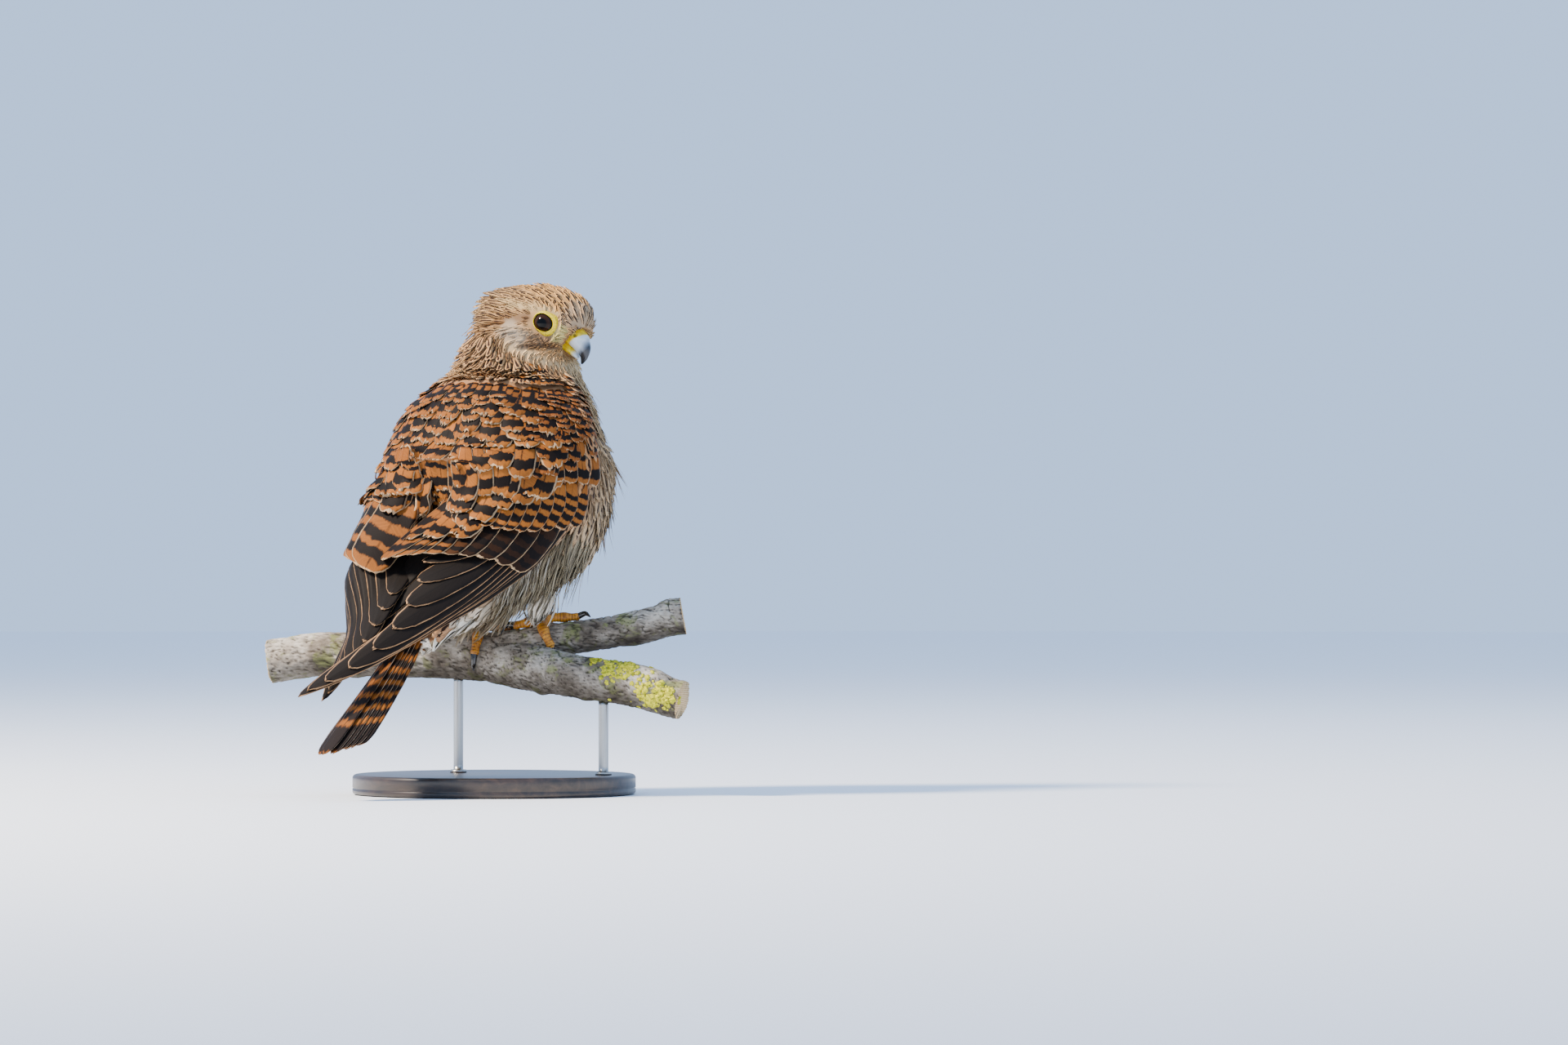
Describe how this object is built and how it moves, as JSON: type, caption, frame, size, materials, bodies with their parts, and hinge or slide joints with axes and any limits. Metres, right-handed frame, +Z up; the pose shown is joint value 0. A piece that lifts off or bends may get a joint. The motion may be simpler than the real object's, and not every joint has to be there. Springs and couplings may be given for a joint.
{
  "type": "common kestrel model",
  "caption": "Life-size still model of a female common kestrel gripping a short forked branch, held by two rods on a round base.",
  "frame": {"origin": "middle of the round base's underside, on the floor", "axes": "+Z up; the bird's body faces -Y, its right side is at -X, and its tail hangs towards +Y"},
  "size_m": [0.2147, 0.2045, 0.2604],
  "materials": {
    "plumage": "soft barred rufous and buff feathers",
    "wing": "rufous feathers barred dark brown, with pale edges",
    "tail": "rufous feathers with dark bars",
    "underside": "buff feathers streaked brown",
    "bill": "smooth horn, blue grey with a dark tip and a yellow base",
    "eye": "wet gloss, nearly black",
    "foot": "scaly yellow orange skin",
    "claw": "smooth black horn",
    "bark": "rough grey birch bark with lichen",
    "base": "dark stained satin wood",
    "rod": "satin steel"
  },
  "bodies": {
    "root": {"stand_base": "base", "stand_rod_left": "rod", "stand_rod_right": "rod", "branch_stem": "bark", "branch_arm": "bark", "torso": "underside", "neck": "plumage", "head": "plumage", "bill_upper": "bill", "bill_lower": "bill", "eye_right": "eye", "eye_left": "eye", "wing_right": "wing", "wing_left": "wing", "tail": "tail", "thigh_right": "underside", "foot_right": "foot", "claw_right_1": "claw", "claw_right_2": "claw", "claw_right_3": "claw", "claw_right_4": "claw", "thigh_left": "underside", "foot_left": "foot", "claw_left_1": "claw", "claw_left_2": "claw", "claw_left_3": "claw", "claw_left_4": "claw"}
  },
  "joints": []
}
